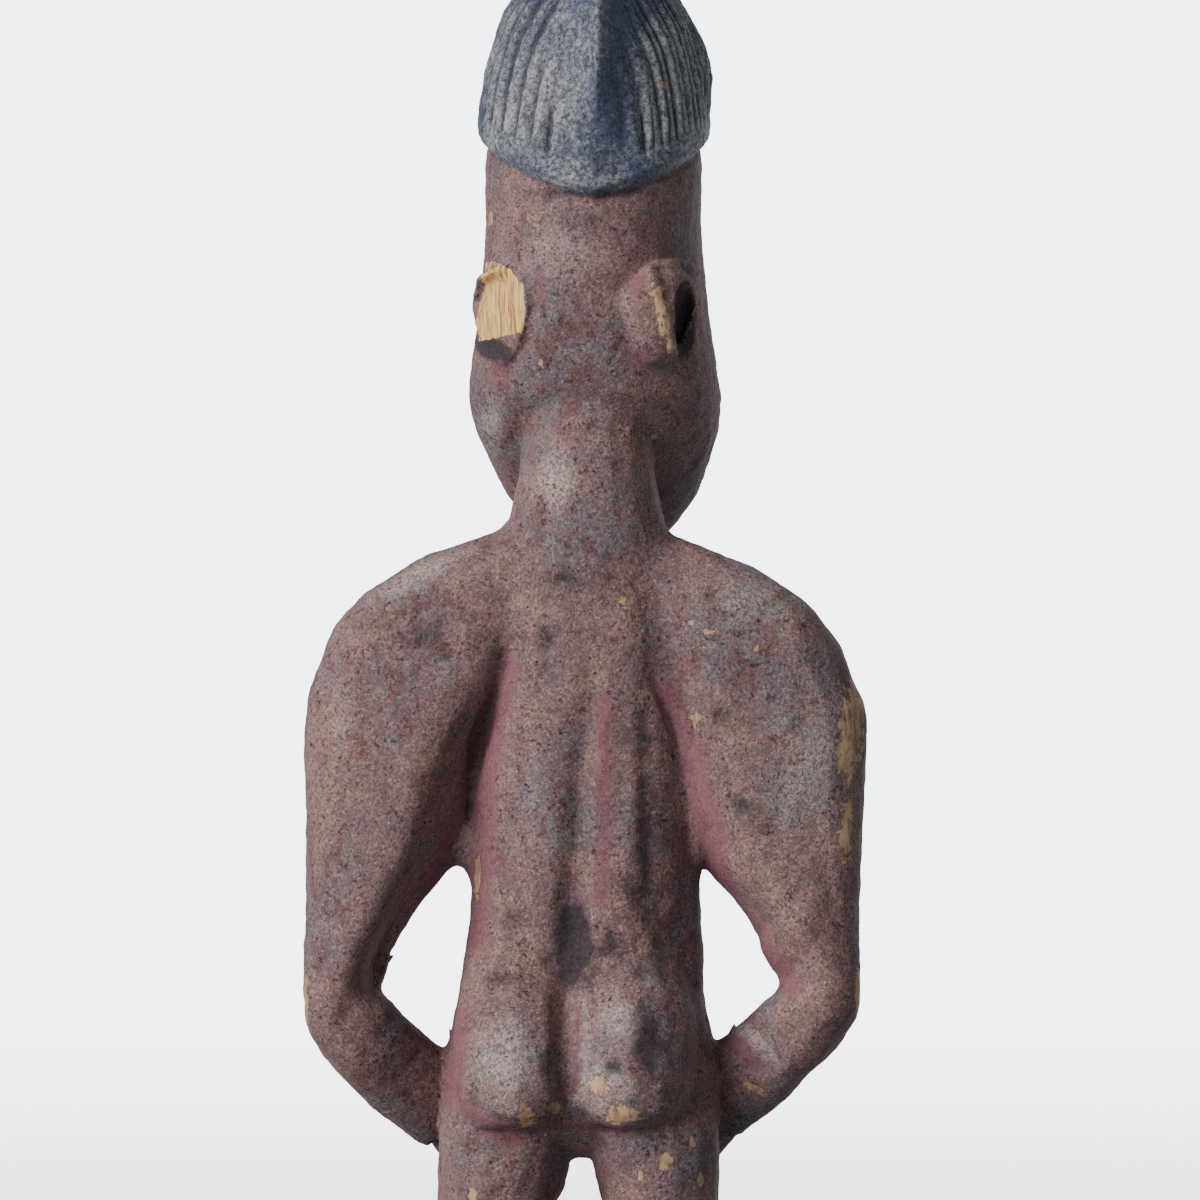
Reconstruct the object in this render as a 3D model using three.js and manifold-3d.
// A carved wooden twin figure: a standing body with its hands on its hips, a long turned head
// and a tall grooved hair crest, cut with its low round base from one block.
// Millimetres, +Z up, the figure faces -Y, and the origin is the middle of the base's underside.
import * as THREE from 'three';
import { mergeVertices } from 'three/addons/utils/BufferGeometryUtils.js';
import Module from 'manifold-3d';

// Driving dimensions
const FIGURE_HEIGHT = 284; // from the top of the base to the top of the crest
const BASE_HEIGHT = 8;
const BASE_MARGIN = 1.8; // rim left outside the corners of the toes
const BASE_EDGE_BEVEL = 1.2;

// The figure's proportions are drawn on a grid of squares. Levels count them from the base.
const CHIN_LEVEL = 171.5;
const EYE_LEVEL = 206;
const HEM_LEVEL = 238.8; // of the hair, over the ears
const HAIR_HEIGHT = 45.2; // from there to the crest
const CREST_LEVEL = HEM_LEVEL + HAIR_HEIGHT;
const SQUARE = FIGURE_HEIGHT / CREST_LEVEL;

// Widths and depths that several forms share, in squares
const SHOULDER_HALF = 48.2;
const HIP_HALF = 24;
const WAIST_HALF = 19.4;
const NECK_HALF = 10.8;
const JAW_HALF = 21.5;
const SKULL_HALF = 18.4;
const SKULL_FRONT = 27;
const SKULL_BACK = 21.2;
const HEAD_FORWARD = 3; // how far the head sits in front of the body
const LEG_APART = 13.9; // from the middle to the centre of each leg
const FOOT_HALF = 9.4;
const FOOT_REACH = 27.5; // from the leg's centre to the toes
const TOE_OUT = 1.2; // the feet stand slightly outside the legs

// The carver's irregularities: the figure leans, the arms differ, and the face looks aside.
const LEAN = -0.0145; // sideways shift for each square of height
const SHOULDER_TILT = 0.033; // rise for each square to the figure's left
const FOREARM_TILT = -0.028;
const ARM_DIFFERENCE = 1.2; // how much fuller the right arm is, and thinner the left
const POCKET_FILL = 9; // how much less the right arm is cut away beside the trunk
const SEAT_SHIFT = 1.2; // the spine's channel ends beside the middle
const FACE_TURN = THREE.MathUtils.degToRad(-8);
const CREST_TURN = THREE.MathUtils.degToRad(1);

// Eyes and ears. The ears are oval cups on the back corners of the head, each with an upright slot.
const EYE_APART = 8.8; // from the middle of the face to the middle of each eye
const EAR_TURN = 0.72; // from the middle of the back, in radians
const EAR_WIDTH = 14.6;
const EAR_RISE = 7;
const EAR_DROP = 10.4;
const EAR_DEPTH = 4.8;
const BREAK_DEPTH = 0.7; // what is left standing of the ear that broke off

// Hair: grooves run up from the hem to the crest on both sides, under a sharp ridge.
const HAIR_OVERHANG = 1.5;
const HEM_DIP = 7.4; // how much lower the hem is at the back
const HEM_RISE = 2.4; // how much higher it is over the brow
const GROOVES_PER_SIDE = 18;
const GROOVE_DEPTH = 1.1;
const KEEL_HEIGHT = 3.4; // how far the ridge stands above the dome
const KEEL_HALF_WIDTH = 6.5;
const DOME_FOOT = HEM_LEVEL + HAIR_HEIGHT / 5;
const DOME_HEIGHT = CREST_LEVEL - KEEL_HEIGHT - DOME_FOOT;

const { PI } = Math;
const { clamp, lerp, smoothstep } = THREE.MathUtils;

/** A level on the head: 0 is the chin, 1 the eyes and 2 the hair's hem. */
const headLevel = (share) => (share < 1
  ? lerp(CHIN_LEVEL, EYE_LEVEL, share)
  : lerp(EYE_LEVEL, HEM_LEVEL, share - 1));
const EAR_LEVEL = headLevel(1.23);

const wasm = await Module();
wasm.setup();

/** Turns a closed geometry into a solid that can be joined and cut. */
function solidOf(geometry) {
  const bare = geometry.clone().deleteAttribute('normal').deleteAttribute('uv');
  const merged = mergeVertices(bare, 1e-4);
  return new wasm.Manifold(new wasm.Mesh({
    numProp: 3,
    vertProperties: new Float32Array(merged.attributes.position.array),
    triVerts: new Uint32Array(merged.index.array),
  }));
}

/** Turns a solid back into a geometry. */
function geometryOf(solid) {
  const mesh = solid.getMesh();
  const geometry = new THREE.BufferGeometry();
  geometry.setAttribute('position', new THREE.BufferAttribute(new Float32Array(mesh.vertProperties), 3));
  geometry.setIndex(new THREE.BufferAttribute(new Uint32Array(mesh.triVerts), 1));
  return geometry;
}

/** Joins a list of geometries into one solid. */
const joined = (geometries) => geometries.map(solidOf).reduce((whole, solid) => whole.add(solid));

/** Moves every vertex of a geometry by place(point), in place. */
function reshape(geometry, place) {
  const position = geometry.attributes.position;
  const point = new THREE.Vector3();
  for (let i = 0; i < position.count; i++) {
    place(point.fromBufferAttribute(position, i));
    position.setXYZ(i, point.x, point.y, point.z);
  }
  return geometry;
}

/** The same form on the figure's other side. */
function mirrored(geometry) {
  const other = geometry.clone().scale(-1, 1, 1);
  const index = other.index.array;
  for (let i = 0; i < index.length; i += 3) [index[i], index[i + 1]] = [index[i + 1], index[i]];
  return other;
}

const pair = (geometry) => [geometry, mirrored(geometry)];

/** Evenly shared values from first to last, both included. */
const steps = (first, last, count) =>
  Array.from({ length: count + 1 }, (_, i) => lerp(first, last, i / count));

/** The places of a table's rows, with more between rows that are further apart than the spacing. */
function placesOf(rows, spacing) {
  const places = rows.map((row) => row[0]);
  const between = places.slice(1).map((place, i) => {
    const count = Math.ceil((place - places[i]) / spacing);
    return steps(places[i], place, count).slice(1);
  });
  return [places[0], ...between.flat()];
}

/** Evenly shared angles once around. */
const around = (count) => Array.from({ length: count }, (_, i) => (i / count) * 2 * PI);

/** A soft bump of height 1 at the centre that fades out over the reach. */
const bump = (distance, reach) => Math.exp(-((distance / reach) ** 2));

/** A point of the rounded square of half size 1: a power of 2 is a circle, larger ones are squarer. */
function roundedSquare(angle, power) {
  const soften = (v) => Math.sign(v) * Math.abs(v) ** (2 / power);
  return [soften(Math.cos(angle)), soften(Math.sin(angle))];
}

/** Smooth curves through a table whose rows start with the place where they hold. */
function readTable(rows) {
  const places = rows.map((row) => row[0]);
  const values = rows.flatMap((row) => row.slice(1));
  const curves = new THREE.CubicInterpolant(places, values, rows[0].length - 1);
  return (at) => Array.from(curves.evaluate(at));
}

/** A closed skin over rings of equally many points, counter-clockwise seen from the last ring. */
function skin(rings) {
  const sides = rings[0].length;
  const middle = (ring) => ring.reduce((sum, p) => sum.add(p), new THREE.Vector3()).divideScalar(sides);
  const points = [...rings.flat(), middle(rings[0]), middle(rings.at(-1))];
  const [firstCap, lastCap] = [rings.length * sides, rings.length * sides + 1];
  const lastRing = (rings.length - 1) * sides;
  const index = [];
  for (let j = 0; j < sides; j++) {
    const next = (j + 1) % sides;
    index.push(firstCap, next, j, lastCap, lastRing + j, lastRing + next);
    for (let i = 0; i < lastRing; i += sides) {
      index.push(i + j, i + next, i + sides + next, i + j, i + sides + next, i + sides + j);
    }
  }
  return new THREE.BufferGeometry().setFromPoints(points).setIndex(index);
}

/** An upright form from rows of [height, centre x, half width, front, back, squareness]. */
function upright(rows, { spacing, sides, carve = () => {} }) {
  const read = readTable(rows);
  return skin(placesOf(rows, spacing).map((z) => {
    const [x, half, front, back, power] = read(z);
    return around(sides).map((angle) => {
      const [u, v] = roundedSquare(angle, power);
      const point = new THREE.Vector3(x + u * half, lerp(front, back, (v + 1) / 2), z);
      carve(point, v);
      return point;
    });
  }));
}

/** A limb along a path, from rows of [x, y, z, half across, half through, squareness]. */
function limb(rows, { rings, sides, across }) {
  const read = readTable(rows.map((row, i) => [i, ...row]));
  const end = rows.length - 1;
  const at = (t) => new THREE.Vector3(...read(clamp(t, 0, end)).slice(0, 3));
  return skin(steps(0, end, rings).map((t) => {
    const along = at(t + 0.1).sub(at(t - 0.1)).normalize();
    const through = new THREE.Vector3().crossVectors(along, across).normalize();
    const side = new THREE.Vector3().crossVectors(through, along);
    const [half, deep, power] = read(t).slice(3);
    return around(sides).map((angle) => {
      const [u, v] = roundedSquare(angle, power);
      return at(t).addScaledVector(side, u * half).addScaledVector(through, v * deep);
    });
  }));
}

/** A ball with its poles up and down, squeezed to three half sizes. */
function ball([x, y, z], [wide, high]) {
  return new THREE.SphereGeometry(1, wide, high).rotateX(PI / 2).scale(x, y, z);
}

/** The round base, with bevelled edges. */
function makeBase() {
  const toes = Math.hypot(LEG_APART + TOE_OUT + FOOT_HALF, FOOT_REACH) * SQUARE;
  const radius = toes + BASE_MARGIN;
  const inner = radius - BASE_EDGE_BEVEL;
  const profile = [
    [0, 0], [inner, 0], [radius, BASE_EDGE_BEVEL],
    [radius, BASE_HEIGHT - BASE_EDGE_BEVEL], [inner, BASE_HEIGHT], [0, BASE_HEIGHT],
  ];
  return new THREE.LatheGeometry(profile.map(([r, z]) => new THREE.Vector2(r, z)), 32).rotateX(PI / 2);
}

/** The trunk, with a raised column on each side of the spine and a low belly. */
function makeTorso() {
  const rows = [
    [69, 0, HIP_HALF - 12, -6, 4, 2],
    [71.5, 0, HIP_HALF - 6, -10.5, 8.4, 2.1],
    [76, 0, HIP_HALF - 0.8, -14.4, 13.4, 2.3],
    [83, 0, HIP_HALF - 0.4, -16, 14.6, 2.4],
    [91, 0, HIP_HALF - 1.8, -16.6, 13.5, 2.4],
    [99, 0, WAIST_HALF + 1.2, -16.6, 12.4, 2.3],
    [108, 0, WAIST_HALF, -15.8, 12, 2.3],
    [119, 0, WAIST_HALF, -15, 13, 2.4],
    [133, 0, WAIST_HALF, -14.5, 14.5, 2.4],
    [148, 0, WAIST_HALF - 0.6, -14.5, 15.6, 2.4],
    [160, 0.5, WAIST_HALF - 2, -13.5, 15.8, 2.4],
    [170, 1, NECK_HALF + 4.6, -11, 15, 2.2],
    [177, 1, NECK_HALF + 2, -9.5, 14, 2],
  ];
  const columnRise = 1.3;
  const bellyRise = 1.4;
  const carve = (point, v) => {
    const column = bump(Math.abs(point.x) - 8.6, 4.2) * bump(point.z - 118, 30);
    const belly = bump(Math.hypot(point.x * 0.8, point.z - 97), 9);
    point.y += v > 0 ? columnRise * v * column : bellyRise * v * belly;
  };
  return upright(rows, { spacing: 10, sides: 26, carve });
}

/** The channel down the spine, deepest in the hollow of the back and ending between the buttocks. */
function makeSpineChannel() {
  return limb([
    [-1.4, 18.5, 162, 1.6, 1.6, 2],
    [-0.6, 17.2, 152, 2, 2.6, 2],
    [0.6, 16, 135, 2.2, 3, 2],
    [0.9, 14.4, 119, 2.7, 3.2, 2],
    [1.8, 13.4, 107.5, 3.4, 4, 2],
    [2.4, 14.4, 97, 2.6, 3.6, 2],
    [2.2, 17.4, 88, 2, 3.2, 2],
    [2.2, 17, 74, 1.2, 2.4, 2],
  ], { rings: 10, sides: 8, across: new THREE.Vector3(1, 0, 0) });
}

/** The neck, from between the shoulders up into the head. */
function makeNeck() {
  return upright([
    [162, 0.4, NECK_HALF + 6.2, -8, 14, 2],
    [170, 0.4, NECK_HALF + 4.4, -8.4, 14.6, 2.1],
    [177, 0.4, NECK_HALF + 2.6, -9, 14.5, 2.2],
    [184, 0.4, NECK_HALF + 1, -10, 14, 2.3],
    [190, 0.4, NECK_HALF + 0.4, -11, 13.2, 2.3],
    [196, 0.2, NECK_HALF, -12, 12.2, 2.3],
    [203, 0, NECK_HALF - 0.8, -12, 11.2, 2.2],
  ], { spacing: 8, sides: 14 });
}

/** The upper arm and shoulder: a slab whose back plane ends inwards in a ridge. */
function makeUpperArm(fuller, pocketFill) {
  // Each row is [height, inner edge, ridge, outer edge, front, back].
  const rows = [
    [88.4, SHOULDER_HALF - 10, SHOULDER_HALF - 7.6, SHOULDER_HALF - 3.4, 0, 10],
    [91.5, SHOULDER_HALF - 12.6, SHOULDER_HALF - 7.8, SHOULDER_HALF - 1.1, -3, 13.4],
    [96, SHOULDER_HALF - 15, SHOULDER_HALF - 8.2, SHOULDER_HALF - 0.4, -4.5, 15.2],
    [106, SHOULDER_HALF - 19.8, SHOULDER_HALF - 11.2, SHOULDER_HALF - 0.4, -6.5, 15.8],
    [112.7, SHOULDER_HALF - 24.2, SHOULDER_HALF - 15.3, SHOULDER_HALF - 0.3, -7.5, 15.6],
    [118.5, SHOULDER_HALF - 30, SHOULDER_HALF - 19, SHOULDER_HALF - 0.1, -8.2, 15.6],
    [130, WAIST_HALF - 5.4, WAIST_HALF + 5.6, SHOULDER_HALF, -9.2, 16],
    [146.7, WAIST_HALF - 7.4, WAIST_HALF - 2.2, SHOULDER_HALF - 0.1, -10, 16.6],
    [157, 8, 12, SHOULDER_HALF - 3.9, -9.8, 16.4],
    [164, 5, 9, SHOULDER_HALF - 9.5, -9, 15.4],
    [170.5, 2, 5, NECK_HALF + 17.7, -7.4, 13.4],
    [173.2, 1, 3, NECK_HALF + 9.7, -5.6, 12],
    [175.4, 1, 2, NECK_HALF + 4, -4.4, 10.8],
    [177.5, 1, 2, NECK_HALF, -3.4, 9.6],
  ];
  const outerRounding = 2;
  const frontRounding = 2.5;
  const backRounding = 4.5;
  const squareness = 3;
  const read = readTable(rows);
  return skin(placesOf(rows, 12).map((z) => {
    const [inner, ridge, outer, front, back] = read(z);
    const innerEdge = inner - fuller * bump(z - 108, 14) - pocketFill * bump(z - 136, 10);
    const ridgeEdge = ridge - 0.4 * pocketFill * bump(z - 122, 13);
    return around(16).map((angle) => {
      const [across, through] = roundedSquare(angle, squareness).map((v) => (v + 1) / 2);
      const frontX = lerp(innerEdge, outer - outerRounding, across);
      const backX = lerp(ridgeEdge, outer, across);
      const innerY = lerp(front + frontRounding, back, through);
      const outerY = lerp(front, back - backRounding, through);
      return new THREE.Vector3(lerp(frontX, backX, through), lerp(innerY, outerY, across), z);
    });
  }));
}

/** On the figure's left, raises the shoulder and lowers the forearm; the other side does the opposite. */
function tiltArms(point) {
  point.z += point.x * lerp(FOREARM_TILT, SHOULDER_TILT, smoothstep(point.z, 90, 165));
}

/** The forearm, from inside the elbow forward and down to the hip. */
function makeForearm() {
  const elbow = SHOULDER_HALF - 5.4;
  const wrist = HIP_HALF - 1.4;
  return limb([
    [elbow - 0.6, 6, 103, 3.6, 6.4, 2.4],
    [elbow - 1.8, 5.4, 96, 6, 7.6, 2.5],
    [lerp(elbow, wrist, 0.24), 3.2, 91.4, 7.4, 8, 2.6],
    [lerp(elbow, wrist, 0.5), -0.8, 86.2, 7.4, 7.2, 2.7],
    [lerp(elbow, wrist, 0.76), -4.4, 81.2, 7.7, 6.2, 2.6],
    [wrist, -7.8, 77, 7.5, 4.6, 2.5],
  ], { rings: 9, sides: 10, across: new THREE.Vector3(-0.68, 0, 0.73) });
}

/** The hand, laid on the front of the thigh with four fingers side by side. */
function makeHand() {
  const palm = limb([
    [HIP_HALF + 0.5, -6.6, 79.4, 6.2, 4.2, 2.6],
    [HIP_HALF - 3.6, -10.2, 75, 6.8, 4, 2.8],
    [HIP_HALF - 6.8, -12, 71, 6.9, 3.6, 3],
  ], { rings: 3, sides: 8, across: new THREE.Vector3(-0.7, -0.1, 0.7) });
  const fingerLengths = [8, 9.4, 9, 7];
  const fingerRadius = 1.95;
  const fingerSpread = 5.1;
  const knuckles = HIP_HALF - 8.8;
  const fingers = fingerLengths.map((length, i) => {
    const place = lerp(-fingerSpread, fingerSpread, i / (fingerLengths.length - 1));
    const finger = new THREE.CapsuleGeometry(fingerRadius, length, 2, 6);
    finger.rotateX(PI / 2).rotateY(0.62).rotateX(-0.16);
    return finger.translate(knuckles + place * 0.72, -13.5 + Math.abs(place) * 0.16, 68.8 - place * 0.62);
  });
  return [palm, ...fingers];
}

/** The leg, with a bent knee and a calf, from inside the hip down into the base. */
function makeLeg() {
  return upright([
    [-2, LEG_APART, 7, -7, 7.5, 2.1],
    [4, LEG_APART, 6.8, -7, 7.5, 2.1],
    [10, LEG_APART + 0.1, 6.9, -7.4, 7.4, 2.1],
    [20, LEG_APART + 0.3, 8, -8.4, 8.8, 2.2],
    [29, LEG_APART + 0.2, 8.7, -10, 9.2, 2.2],
    [37, LEG_APART, 8.8, -13, 7.6, 2.3],
    [43, LEG_APART - 0.1, 9.1, -14, 7.2, 2.3],
    [50, LEG_APART - 0.1, 9.5, -13.6, 8.8, 2.3],
    [60, LEG_APART, 9.9, -13.4, 11.4, 2.3],
    [67, LEG_APART - 0.7, 10.7, -13.8, 12.6, 2.3],
    [73, LEG_APART - 1.6, 11.6, -14.4, 13.6, 2.4],
    [79, LEG_APART - 1.9, 11.4, -13.8, 12.6, 2.4],
    [84, LEG_APART - 2.4, 9, -10, 9, 2.2],
  ], { spacing: 12, sides: 14 });
}

/** The foot, broad and flat on the base, with its toes parted by grooves. */
function makeFoot() {
  // Each row is [distance forward, half width, height].
  const rows = [
    [-10, FOOT_HALF - 5.6, 5],
    [-8.5, FOOT_HALF - 4, 8],
    [-3, FOOT_HALF - 2.6, 11.5],
    [5, FOOT_HALF - 1.6, 12],
    [FOOT_REACH * 0.48, FOOT_HALF - 0.6, 8.4],
    [FOOT_REACH * 0.66, FOOT_HALF - 0.2, 6.6],
    [FOOT_REACH * 0.8, FOOT_HALF, 5.4],
    [FOOT_REACH * 0.93, FOOT_HALF - 0.4, 4.4],
    [FOOT_REACH, FOOT_HALF - 1.6, 2.8],
  ];
  const toes = 5;
  const toeDepth = 1.3;
  const sunk = 2;
  const read = readTable(rows);
  return skin(placesOf(rows, 9).map((forward) => {
    const [half, height] = read(forward);
    const grooved = toeDepth * smoothstep(forward, FOOT_REACH * 0.45, FOOT_REACH * 0.66);
    const top = steps(1, -1, 2 * toes).map((u, i) => {
      const groove = i % 2 === 0 ? grooved : 0;
      const arch = (1 - Math.abs(u) ** 3) ** 0.4;
      return [u, arch * (height - groove)];
    });
    return [[-0.9, -sunk], [0.9, -sunk], ...top].map(([u, z]) =>
      new THREE.Vector3(LEG_APART + TOE_OUT + u * half, -forward, z));
  }));
}

/** A buttock: it rises softly out of the back and is undercut below. */
function makeButtock() {
  const centre = HIP_HALF - 14.4;
  return upright([
    [74.2, centre, 4, 5, 14, 2],
    [75, centre, 7, 3, 18, 2],
    [77.4, centre, 9.2, 0, 20.6, 2],
    [82, centre + 0.2, 10.4, -2, 21.4, 2.1],
    [90, centre + 0.4, 10.8, -4, 19.2, 2.1],
    [97, centre + 0.2, 10.2, -5, 15.8, 2.1],
    [104, centre - 0.6, 8.6, -5, 12.7, 2],
    [110, centre - 1.4, 6.2, -5, 10.4, 2],
  ], { spacing: 8, sides: 12 });
}

/** The skull and the face's broad forms: brow, eye hollows and cheeks. */
function makeSkull() {
  const eyeHollow = 2;
  const browRise = 1;
  const cheekRise = 0.8;
  const face = -SKULL_FRONT;
  const carve = (point, v) => {
    const front = Math.max(-v, 0);
    const aside = Math.abs(point.x);
    const bridge = bump(aside, 3.4);
    const eye = bump(aside - EYE_APART, 5.4) * bump(point.z - EYE_LEVEL, 5) * (1 - bridge);
    const brow = bump(point.z - headLevel(1.26), 3.4) * (1 - 0.5 * bridge);
    const cheek = bump(aside - 11, 5) * bump(point.z - headLevel(0.65), 6);
    point.y += front * (eyeHollow * eye - browRise * brow - cheekRise * cheek);
  };
  return upright([
    [headLevel(0), 0, JAW_HALF - 16, face + 3, -15, 2.1],
    [headLevel(0.06), 0, JAW_HALF - 12.3, face + 0.2, -11.5, 2.2],
    [headLevel(0.16), 0, JAW_HALF - 8.9, face - 1.4, -8, 2.2],
    [headLevel(0.3), 0, JAW_HALF - 5.2, face - 1.8, -3, 2.3],
    [headLevel(0.45), 0, JAW_HALF - 2.8, face - 1.6, 3.4, 2.3],
    [headLevel(0.62), 0, JAW_HALF - 0.7, face - 1, SKULL_BACK - 10.6, 2.3],
    [headLevel(0.78), 0, JAW_HALF, face - 0.2, SKULL_BACK - 5.8, 2.3],
    [headLevel(0.97), 0, JAW_HALF - 0.8, face + 0.6, SKULL_BACK - 3.1, 2.3],
    [headLevel(1.18), 0, SKULL_HALF + 1.1, face + 0.6, SKULL_BACK - 1.4, 2.3],
    [headLevel(1.43), 0, SKULL_HALF + 0.4, face, SKULL_BACK - 0.4, 2.3],
    [headLevel(1.73), 0, SKULL_HALF, face, SKULL_BACK, 2.3],
    [headLevel(2.04), 0, SKULL_HALF, face + 1.4, SKULL_BACK - 0.2, 2.3],
    [headLevel(2.25), 0, SKULL_HALF - 2, face + 4, SKULL_BACK - 2.5, 2.2],
  ], { spacing: 8.4, sides: 28, carve });
}

/** Eyes with their lids, nose and lips, in the calm, full forms of this kind of carving. */
function makeFeatures() {
  const face = -SKULL_FRONT;
  const almond = (point) => {
    point.z *= 1 - 0.35 * point.x ** 2;
  };
  const eyeTurn = 0.34;
  const atEye = (geometry) =>
    geometry.scale(6, 3.4, 4.2).rotateZ(eyeTurn).translate(EYE_APART, face + 3.2, EYE_LEVEL);
  const eyeball = atEye(reshape(ball([0.88, 0.95, 0.85], [10, 6]), almond));
  const ring = new THREE.TorusGeometry(1, 0.2, 4, 12).rotateX(PI / 2).translate(0, -0.3, 0);
  const lid = atEye(reshape(ring, almond));
  const wing = ball([3, 3.4, 2.6], [8, 5]).translate(4.3, face - 2.6, headLevel(0.62));
  const nose = upright([
    [headLevel(0.55), 0, 3.2, face - 4.2, face + 3, 2.2],
    [headLevel(0.61), 0, 4.4, face - 6.6, face + 3, 2.1],
    [headLevel(0.69), 0, 4.1, face - 6.4, face + 3, 2],
    [headLevel(0.83), 0, 3.2, face - 4.4, face + 4, 2],
    [headLevel(1), 0, 2.8, face - 2, face + 5, 2],
    [headLevel(1.24), 0, 3.6, face - 0.2, face + 5, 2],
  ], { spacing: 9, sides: 10 });
  const lip = (level, half, high) => reshape(ball([half, 4.2, high], [10, 6]), (point) => {
    point.y += 2.4 * (point.x / half) ** 2;
  }).translate(0, face - 1.2, level);
  const lips = [lip(headLevel(0.4), 7, 2.2), lip(headLevel(0.28), 6.2, 2.2)];
  return [...pair(eyeball), ...pair(lid), ...pair(wing), nose, ...lips];
}

/** Sets a form made at the origin, facing +Y, where the figure's left ear is. */
function atEar(geometry) {
  return geometry.rotateZ(-EAR_TURN).translate(SKULL_HALF - 5, SKULL_BACK - 6.6, EAR_LEVEL);
}

/** The ear's thick cup. */
function makeEar() {
  const cup = ball([EAR_WIDTH / 2, EAR_DEPTH, 1], [12, 8]);
  return atEar(reshape(cup, (point) => {
    point.x *= point.z > 0 ? 1 : 1 + 0.25 * point.z;
    point.z *= point.z > 0 ? EAR_RISE : EAR_DROP;
  }));
}

/** The upright slot that hollows the ear just behind its front rim, pointed below. */
function makeEarSlot() {
  const slot = ball([EAR_WIDTH * 0.2, EAR_DEPTH * 1.3, 1], [10, 8]);
  return atEar(reshape(slot, (point) => {
    point.x *= point.z > 0 ? 1 : 1 + 0.5 * point.z;
    point.z *= point.z > 0 ? EAR_RISE * 0.6 : EAR_DROP * 1.15;
  }).translate(EAR_WIDTH * 0.23, EAR_DEPTH, 0));
}

/** What is missing where the ear on the figure's left split off along the grain. */
function makeEarBreak() {
  const size = 3 * EAR_WIDTH;
  const missing = new THREE.BoxGeometry(size, size, size);
  missing.translate(0, size / 2 + BREAK_DEPTH, EAR_RISE * 0.7 - size / 2).rotateX(-0.08).rotateY(0.35);
  return atEar(missing);
}

/** A point of the smooth hair dome: angle runs from the back (0) to the front, rise from hem to crest. */
function domePoint(angle, rise) {
  const halfWidth = SKULL_HALF + HAIR_OVERHANG;
  const reach = HAIR_OVERHANG + (angle < PI / 2 ? SKULL_BACK : SKULL_FRONT);
  const dip = HEM_DIP * Math.max(0, 1 - angle / (PI / 2));
  const hem = HEM_LEVEL - dip + HEM_RISE * smoothstep(angle, PI * 0.25, PI * 0.75);
  const crestAngle = angle * 0.94 + 0.1;
  const swing = rise * PI / 2;
  return new THREE.Vector3(
    halfWidth * Math.sin(angle) * (1 - Math.sin(swing) ** 3.5),
    reach * lerp(0.985 * Math.cos(crestAngle), Math.cos(angle), Math.cos(swing) ** 1.1),
    lerp(hem, DOME_FOOT + DOME_HEIGHT * Math.sin(crestAngle), Math.sin(swing) ** 1.08));
}

/** How deep a groove is cut there: none in the plain band at the hem, less near the ridge. */
function grooveDepth(angle, rise) {
  const band = smoothstep(rise, 0.1, 0.2);
  const beside = smoothstep(angle, 0.1, 0.34) * (1 - smoothstep(angle, 2.9, 3.1));
  const end = lerp(0.34, 0.97, smoothstep(angle, 0.25, 1));
  return GROOVE_DEPTH * band * beside * (1 - smoothstep(rise, end, 1.02));
}

/** Draws the dome's surface up into the sharp ridge along its middle. */
function raiseKeel(point) {
  const nearMiddle = clamp(1 - Math.abs(point.x) / KEEL_HALF_WIDTH, 0, 1) ** 1.6;
  const onDome = smoothstep(point.z, DOME_FOOT - 9, DOME_FOOT + 4);
  const reach = point.y > 0 ? SKULL_BACK : SKULL_FRONT;
  const up = Math.max(0, point.z - DOME_FOOT) / DOME_HEIGHT;
  const out = new THREE.Vector3(0, point.y / reach, up).normalize();
  point.addScaledVector(out, nearMiddle * onDome * KEEL_HEIGHT);
}

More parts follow.
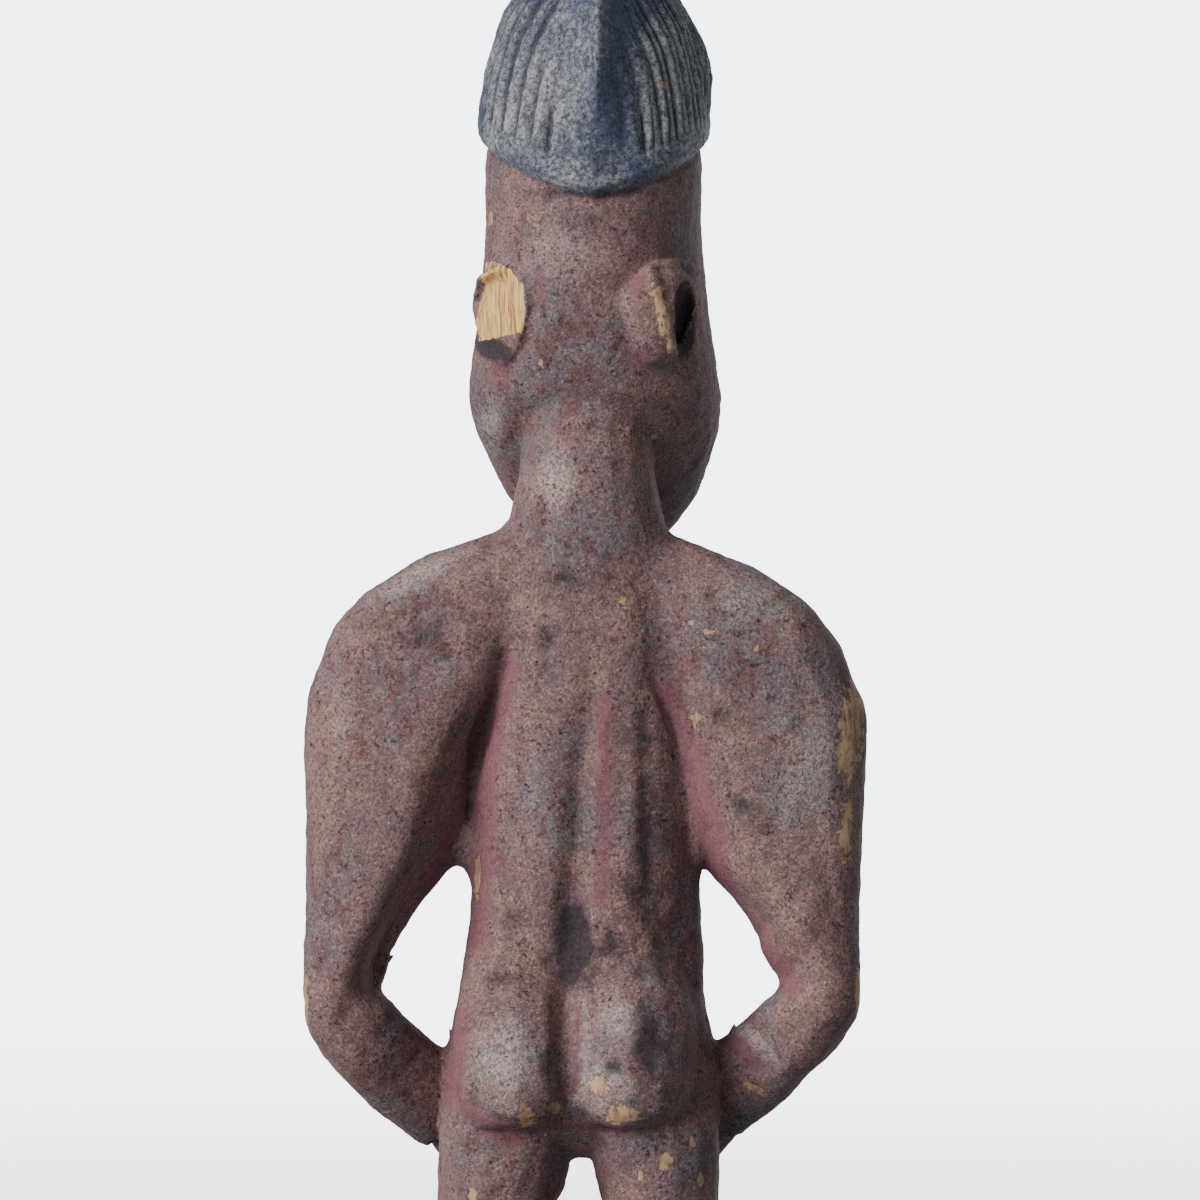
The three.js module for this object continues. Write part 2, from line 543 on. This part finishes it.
/** The hair, as one closed cap. */
function makeHair() {
  const rises = [0, 0.06, 0.12, 0.24, 0.42, 0.6, 0.78, 0.92, 1];
  const columns = 2 * GROOVES_PER_SIDE;
  const centre = new THREE.Vector3(0, 0, DOME_FOOT - 6);
  const places = [...Array(2 * columns).keys()].map((j) => {
    const beforeFront = j <= columns;
    const step = beforeFront ? j : 2 * columns - j;
    return { angle: step / columns * PI, side: beforeFront ? 1 : -1, isGroove: j % 2 === 1 };
  });
  const rings = rises.map((rise) => places.map(({ angle, side, isGroove }) => {
    const point = domePoint(angle, rise);
    const out = point.clone().sub(centre).setZ(Math.max(0, point.z - centre.z)).normalize();
    const underHem = rise > 0 ? 0 : 2.4 * HAIR_OVERHANG;
    point.addScaledVector(out, -underHem - (isGroove ? grooveDepth(angle, rise) : 0));
    raiseKeel(point);
    point.x *= side;
    return point;
  }).reverse());
  return skin(rings);
}

/** Turns the head about its own axis, more at the jaw than at the crest, and sets it forward. */
function turnHead(point) {
  const turn = lerp(FACE_TURN, CREST_TURN, smoothstep(point.z, EAR_LEVEL, HEM_LEVEL - 3));
  point.applyAxisAngle(new THREE.Vector3(0, 0, 1), turn);
  point.y -= HEAD_FORWARD;
}

/** The head with its hair, one whole ear and one broken ear. */
function makeHead() {
  const head = joined([makeSkull(), ...makeFeatures(), ...pair(makeEar())])
    .subtract(solidOf(mirrored(makeEarSlot())))
    .subtract(solidOf(makeEarBreak()))
    .add(solidOf(makeHair()));
  return reshape(geometryOf(head), turnHead);
}

/** The whole figure and its base, in one piece of wood. */
function makeFigure() {
  const upperArms = [makeUpperArm(-ARM_DIFFERENCE, 0), mirrored(makeUpperArm(ARM_DIFFERENCE, POCKET_FILL))];
  const arms = [...upperArms, ...pair(makeForearm())].map((arm) => reshape(arm, tiltArms));
  const seat = pair(makeButtock()).map((buttock) => buttock.translate(SEAT_SHIFT, 0, 0));
  const limbs = [...makeHand(), makeLeg(), makeFoot()].flatMap(pair);
  const trunk = joined([makeTorso(), makeNeck(), ...arms, ...seat, ...limbs])
    .subtract(solidOf(makeSpineChannel()));
  const body = trunk.add(solidOf(makeHead()));
  const standing = reshape(geometryOf(body), (point) => {
    point.x += LEAN * point.z;
    point.multiplyScalar(SQUARE);
    point.z += BASE_HEIGHT;
  });
  return geometryOf(joined([standing, makeBase()]));
}

const wood = new THREE.MeshStandardMaterial({ color: 0x6f4f4c, roughness: 0.8, metalness: 0 });
const figure = new THREE.Mesh(makeFigure(), wood);
figure.name = 'figure';
figure.geometry.computeVertexNormals();

const group = new THREE.Group();
group.add(figure);

export default group;
